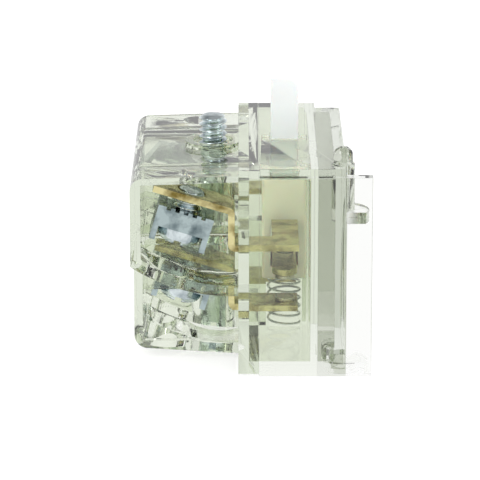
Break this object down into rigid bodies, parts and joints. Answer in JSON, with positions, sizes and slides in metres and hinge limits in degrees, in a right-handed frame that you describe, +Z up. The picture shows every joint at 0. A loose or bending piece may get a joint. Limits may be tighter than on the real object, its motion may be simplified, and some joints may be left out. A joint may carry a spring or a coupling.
{
  "type": "contact block",
  "caption": "Clear-housed contact block for a push button, with saddle-clamp terminals, a sprung plunger, sliding bridges and a captive mounting screw.",
  "frame": {"origin": "under the middle of the block, on the surface it stands on", "axes": "+Z up along the plunger and the mounting screw, +X from the terminals to the coupling ears, +Y from the near side to the far side"},
  "size_m": [0.0296, 0.0344, 0.0339],
  "materials": {
    "clear_plastic": "clear moulded polycarbonate, faintly green",
    "white_acetal": "white moulded acetal",
    "natural_nylon": "natural translucent moulded nylon",
    "strip_brass": "stamped brass strip",
    "bridge_brass": "stamped brass bar",
    "zinc_steel": "bright zinc plated steel",
    "silver_contact": "silver alloy contact rivet",
    "spring_steel": "drawn spring wire"
  },
  "bodies": {
    "block": {"terminal_housing": "clear_plastic", "contact_cover": "clear_plastic", "stationary_contacts": "silver_contact", "retaining_ring": "spring_steel", "strip_outer_near": "strip_brass", "strip_outer_far": "strip_brass", "strip_inner_near": "strip_brass", "strip_inner_far": "strip_brass", "return_spring": "spring_steel"},
    "carrier": {"plunger": "white_acetal", "contact_carrier": "natural_nylon"},
    "no_bridge": {"no_bridge": "bridge_brass", "no_bridge_contacts": "silver_contact", "contact_spring": "spring_steel"},
    "nc_bridge": {"nc_bridge": "bridge_brass", "nc_bridge_contacts": "silver_contact"},
    "mounting_screw": {"mounting_screw": "zinc_steel"},
    "saddle_outer_near": {"saddle_outer_near": "zinc_steel"},
    "screw_outer_near": {"screw_outer_near": "zinc_steel"},
    "saddle_outer_far": {"saddle_outer_far": "zinc_steel"},
    "screw_outer_far": {"screw_outer_far": "zinc_steel"},
    "saddle_inner_near": {"saddle_inner_near": "zinc_steel"},
    "screw_inner_near": {"screw_inner_near": "zinc_steel"},
    "saddle_inner_far": {"saddle_inner_far": "zinc_steel"},
    "screw_inner_far": {"screw_inner_far": "zinc_steel"}
  },
  "joints": [
    {"name": "plunger_slide", "type": "slide", "parent": "block", "child": "carrier", "axis": [0, 0, -1], "range_m": [0, 0.004], "stiffness_N_per_m": 350, "springref_m": -0.0042, "deforming": ["return_spring"]},
    {"name": "no_bridge_slide", "type": "slide", "parent": "carrier", "child": "no_bridge", "axis": [0, 0, 1], "range_m": [0, 0.0016]},
    {"name": "nc_bridge_slide", "type": "slide", "parent": "no_bridge", "child": "nc_bridge", "axis": [0, 0, -1], "range_m": [0, 0.0008], "deforming": ["contact_spring"]},
    {"name": "mounting_screw_turn", "type": "hinge", "parent": "block", "child": "mounting_screw", "pos_m": [-0.00475, 0, 0.015], "axis": [0, 0, 1], "continuous": true},
    {"name": "saddle_slide_outer_near", "type": "slide", "parent": "block", "child": "saddle_outer_near", "axis": [0.2924, 0, 0.9563], "range_m": [0, 0.00119]},
    {"name": "screw_turn_outer_near", "type": "hinge", "parent": "saddle_outer_near", "child": "screw_outer_near", "pos_m": [-0.00745, -0.01305, 0.0217], "axis": [0.2924, 0, 0.9563], "range_deg": [0, 540]},
    {"name": "saddle_slide_outer_far", "type": "slide", "parent": "block", "child": "saddle_outer_far", "axis": [0.2924, 0, 0.9563], "range_m": [0, 0.00119]},
    {"name": "screw_turn_outer_far", "type": "hinge", "parent": "saddle_outer_far", "child": "screw_outer_far", "pos_m": [-0.00745, 0.01305, 0.0217], "axis": [0.2924, 0, 0.9563], "range_deg": [0, 540]},
    {"name": "saddle_slide_inner_near", "type": "slide", "parent": "block", "child": "saddle_inner_near", "axis": [0.2924, 0, 0.9563], "range_m": [0, 0.00119]},
    {"name": "screw_turn_inner_near", "type": "hinge", "parent": "saddle_inner_near", "child": "screw_inner_near", "pos_m": [-0.00745, -0.00625, 0.01235], "axis": [0.2924, 0, 0.9563], "range_deg": [0, 540]},
    {"name": "saddle_slide_inner_far", "type": "slide", "parent": "block", "child": "saddle_inner_far", "axis": [0.2924, 0, 0.9563], "range_m": [0, 0.00119]},
    {"name": "screw_turn_inner_far", "type": "hinge", "parent": "saddle_inner_far", "child": "screw_inner_far", "pos_m": [-0.00745, 0.00625, 0.01235], "axis": [0.2924, 0, 0.9563], "range_deg": [0, 540]}
  ],
  "couplings": [
    {"joint": "no_bridge_slide", "follows": "plunger_slide", "ratio": 0.4},
    {"joint": "nc_bridge_slide", "follows": "plunger_slide", "ratio": 0.2},
    {"joint": "screw_turn_outer_near", "follows": "saddle_slide_outer_near", "rad_per_m": 7913.3},
    {"joint": "screw_turn_outer_far", "follows": "saddle_slide_outer_far", "rad_per_m": 7913.3},
    {"joint": "screw_turn_inner_near", "follows": "saddle_slide_inner_near", "rad_per_m": 7913.3},
    {"joint": "screw_turn_inner_far", "follows": "saddle_slide_inner_far", "rad_per_m": 7913.3}
  ]
}
